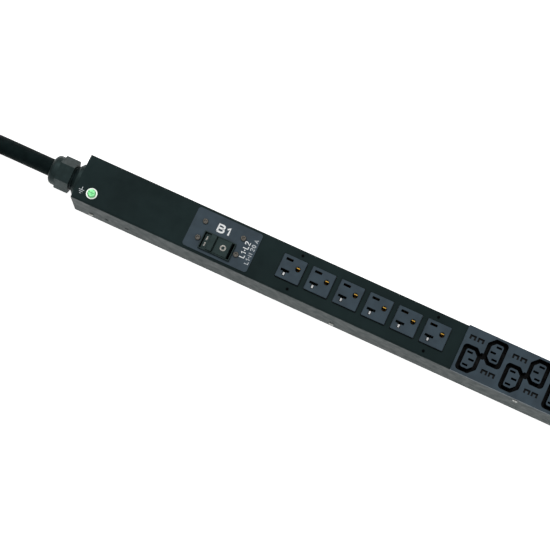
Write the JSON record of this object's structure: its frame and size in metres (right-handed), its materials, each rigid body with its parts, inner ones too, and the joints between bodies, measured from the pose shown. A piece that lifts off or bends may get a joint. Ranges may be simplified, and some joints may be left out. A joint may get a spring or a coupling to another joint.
{
  "type": "rack power strip",
  "caption": "Slim vertical-mount rack power strip in a folded black steel housing, with gland-held cord, rocker breaker, straight-blade sockets and a bank of C13 sockets.",
  "frame": {"origin": "middle of the back face", "axes": "+X along the strip away from the cord, +Z the way the sockets face, +Y across the strip towards the larger label text side"},
  "size_m": [1.2104, 0.2735, 0.0967],
  "materials": {
    "black_coat": "fine-textured black powder coat on folded steel",
    "dark_screws": "black oxide steel screws with bright worn edges",
    "zinc_steel": "bright zinc-plated steel",
    "green_screw": "green-dyed plated steel",
    "slate_plastic": "fine-etched slate-grey flame-retardant plastic",
    "black_plastic": "satin black moulded plastic",
    "fibre_sheet": "pressed insulating fibre sheet",
    "pale_plastic": "pale nylon contact carrier",
    "brass_parts": "stamped brass contacts and blades",
    "nickel_parts": "nickel-plated contact",
    "cord_rubber": "black thermoset cord jacket",
    "wire_insulation": "insulated conductors in black, red, white and green",
    "green_insulation": "green ground conductor"
  },
  "bodies": {
    "housing": {"housing_channel": "black_coat", "back_cover": "black_coat", "cord_end_plate": "black_coat", "far_end_plate": "black_coat", "side_screws": "dark_screws", "module_screws": "dark_screws", "side_inserts": "zinc_steel", "rear_inserts": "zinc_steel", "insulating_liner": "fibre_sheet", "ground_washer": "zinc_steel", "ground_screw": "green_screw", "ground_nut": "zinc_steel", "breaker_plate": "slate_plastic", "breaker_plate_screws": "dark_screws", "breaker_case": "black_plastic", "breaker_base": "black_plastic", "breaker_rocker_pin": "zinc_steel", "breaker_line_terminals": "brass_parts", "breaker_load_terminals": "brass_parts", "outlet_1": "slate_plastic", "outlet_2": "slate_plastic", "outlet_3": "slate_plastic", "outlet_4": "slate_plastic", "outlet_5": "slate_plastic", "outlet_6": "slate_plastic", "outlet_carrier": "zinc_steel", "outlet_rivets": "dark_screws", "outlet_back_plate": "black_plastic", "line_contacts_520": "brass_parts", "neutral_contacts_520": "nickel_parts", "ground_contacts_520": "brass_parts", "c13_module_1": "slate_plastic", "c13_module_2": "slate_plastic", "c13_back_1": "black_plastic", "c13_back_2": "black_plastic", "c13_line_one_bars": "brass_parts", "c13_line_two_bars": "brass_parts", "c13_ground_bars": "brass_parts", "gland_body": "black_plastic", "gland_cap": "black_plastic", "gland_seal": "cord_rubber", "gland_locknut": "black_plastic", "power_cord": "cord_rubber", "cord_tail": "cord_rubber", "cord_coil": "cord_rubber", "cord_jacket_end": "cord_rubber", "plug_body": "black_plastic", "plug_face": "pale_plastic", "plug_blades": "brass_parts", "plug_clamp": "black_plastic", "plug_screws": "dark_screws", "cord_cores": "wire_insulation", "load_wires": "wire_insulation", "ground_lead": "green_insulation"},
    "breaker_rocker": {"breaker_rocker": "black_plastic"},
    "contact_bridge": {"breaker_trip_shaft": "black_plastic", "breaker_contact_arms": "brass_parts"}
  },
  "joints": [
    {"name": "breaker_rocker_tip", "type": "hinge", "parent": "housing", "child": "breaker_rocker", "pos_m": [-0.281, -0.00905, 0.044], "axis": [0, 1, 0], "range_deg": [0, 16]},
    {"name": "contact_bridge_turn", "type": "hinge", "parent": "housing", "child": "contact_bridge", "pos_m": [-0.281, 0.00047, 0.02], "axis": [0, 1, 0], "range_deg": [-16, 0]}
  ],
  "couplings": [
    {"joint": "contact_bridge_turn", "follows": "breaker_rocker_tip", "ratio": -1}
  ]
}
